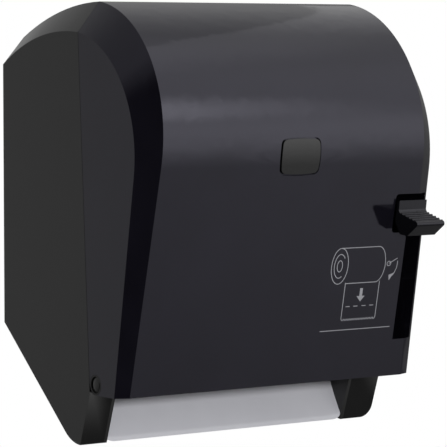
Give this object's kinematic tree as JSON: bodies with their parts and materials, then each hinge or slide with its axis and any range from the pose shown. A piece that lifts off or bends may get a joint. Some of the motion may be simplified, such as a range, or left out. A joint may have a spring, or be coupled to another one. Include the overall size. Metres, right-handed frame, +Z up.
{
  "type": "lever paper towel dispenser",
  "caption": "Wall-mounted roll towel dispenser with a bevelled casing, a hinged front cover, a pull-down lever, and the feed rollers, roll holder and lock inside.",
  "frame": {"origin": "centre of the four wall screw holes on the back face, which lies against the wall", "axes": "+X to the right as one faces the dispenser, +Y into the wall, +Z up"},
  "size_m": [0.31, 0.2441, 0.374],
  "materials": {
    "gloss_abs": "gloss",
    "grey_abs": "satin",
    "acetal": "satin",
    "black_acetal": "satin",
    "black_paint": "satin",
    "black_nylon": "matte",
    "zinc_steel": "satin",
    "spring_steel": "satin",
    "lock_chrome": "polished",
    "roller_rubber": "matte"
  },
  "bodies": {
    "housing": {"rear_housing": "gloss_abs", "left_chassis_plate": "black_paint", "right_chassis_plate": "black_paint", "chassis_screws": "zinc_steel", "guide_panel": "grey_abs", "tear_bar": "zinc_steel", "tear_bar_screws": "zinc_steel", "hinge_pins": "black_nylon", "feed_bearings": "acetal", "lock_sleeve": "lock_chrome", "lock_nut": "zinc_steel", "lever_pivot_pin": "zinc_steel", "pivot_spacers": "acetal", "lever_buffer": "roller_rubber", "lever_return_spring": "spring_steel", "pinch_springs": "spring_steel", "roll_arm_brackets": "zinc_steel", "bracket_screws": "zinc_steel", "roll_arm_pins": "zinc_steel", "roll_arm_springs": "spring_steel"},
    "cover": {"front_cover": "gloss_abs", "badge_plate": "gloss_abs", "striker": "black_nylon", "striker_screws": "zinc_steel"},
    "lever": {"lever": "gloss_abs", "sector_gear": "black_acetal", "sector_screws": "zinc_steel"},
    "pinion": {"drive_pinion": "black_acetal", "one_way_clutch": "zinc_steel"},
    "feed": {"feed_shaft": "zinc_steel", "feed_roller_core": "black_nylon", "feed_tyres": "roller_rubber", "shaft_clips": "zinc_steel"},
    "pinch_carrier": {"pinch_blocks": "acetal"},
    "pinch": {"pinch_shaft": "zinc_steel", "pinch_tyres": "roller_rubber"},
    "left_arm": {"left_roll_arm": "black_nylon"},
    "right_arm": {"right_roll_arm": "black_nylon"},
    "left_hub": {"left_core_hub": "acetal"},
    "right_hub": {"right_core_hub": "acetal"},
    "lock": {"lock_plug": "lock_chrome", "lock_cam": "zinc_steel", "cam_screw": "zinc_steel"}
  },
  "joints": [
    {"name": "cover_hinge", "type": "hinge", "parent": "housing", "child": "cover", "pos_m": [0, -0.15, -0.1514], "axis": [1, 0, 0], "range_deg": [0, 90]},
    {"name": "lever_pivot", "type": "hinge", "parent": "housing", "child": "lever", "pos_m": [0.1385, -0.0643, -0.0385], "axis": [1, 0, 0], "range_deg": [0, 36.5], "stiffness_Nm_per_rad": 1.2, "springref_deg": -20.05, "deforming": ["lever_return_spring"]},
    {"name": "pinion_spin", "type": "hinge", "parent": "housing", "child": "pinion", "pos_m": [0.128, -0.1251, -0.07799], "axis": [1, 0, 0], "range_deg": [-230, 0]},
    {"name": "feed_spin", "type": "hinge", "parent": "housing", "child": "feed", "pos_m": [0, -0.1251, -0.07799], "axis": [1, 0, 0], "continuous": true},
    {"name": "pinch_slide", "type": "slide", "parent": "housing", "child": "pinch_carrier", "axis": [0, 1, 0], "range_m": [0, 0.003], "stiffness_N_per_m": 1500, "springref_m": -0.006, "deforming": ["pinch_springs"]},
    {"name": "pinch_spin", "type": "hinge", "parent": "pinch_carrier", "child": "pinch", "pos_m": [0, -0.0958, -0.07799], "axis": [1, 0, 0], "continuous": true},
    {"name": "left_arm_swing", "type": "hinge", "parent": "housing", "child": "left_arm", "pos_m": [-0.1114, -0.026, 0.057], "axis": [0, 0, -1], "range_deg": [0, 12], "stiffness_Nm_per_rad": 0.3, "springref_deg": -28.65, "deforming": ["roll_arm_springs"]},
    {"name": "right_arm_swing", "type": "hinge", "parent": "housing", "child": "right_arm", "pos_m": [0.1042, -0.026, 0.057], "axis": [0, 0, 1], "range_deg": [0, 12], "stiffness_Nm_per_rad": 0.3, "springref_deg": -28.65, "deforming": ["roll_arm_springs"]},
    {"name": "left_hub_spin", "type": "hinge", "parent": "left_arm", "child": "left_hub", "pos_m": [-0.1, -0.108, 0.057], "axis": [1, 0, 0], "continuous": true},
    {"name": "right_hub_spin", "type": "hinge", "parent": "right_arm", "child": "right_hub", "pos_m": [0.093, -0.108, 0.057], "axis": [1, 0, 0], "continuous": true},
    {"name": "lock_turn", "type": "hinge", "parent": "housing", "child": "lock", "pos_m": [0.02, -0.098, 0.16], "axis": [0, 0, -1], "range_deg": [0, 90]}
  ],
  "couplings": [
    {"joint": "pinion_spin", "follows": "lever_pivot", "ratio": -6.25},
    {"joint": "pinch_spin", "follows": "feed_spin", "ratio": -2.2222}
  ]
}
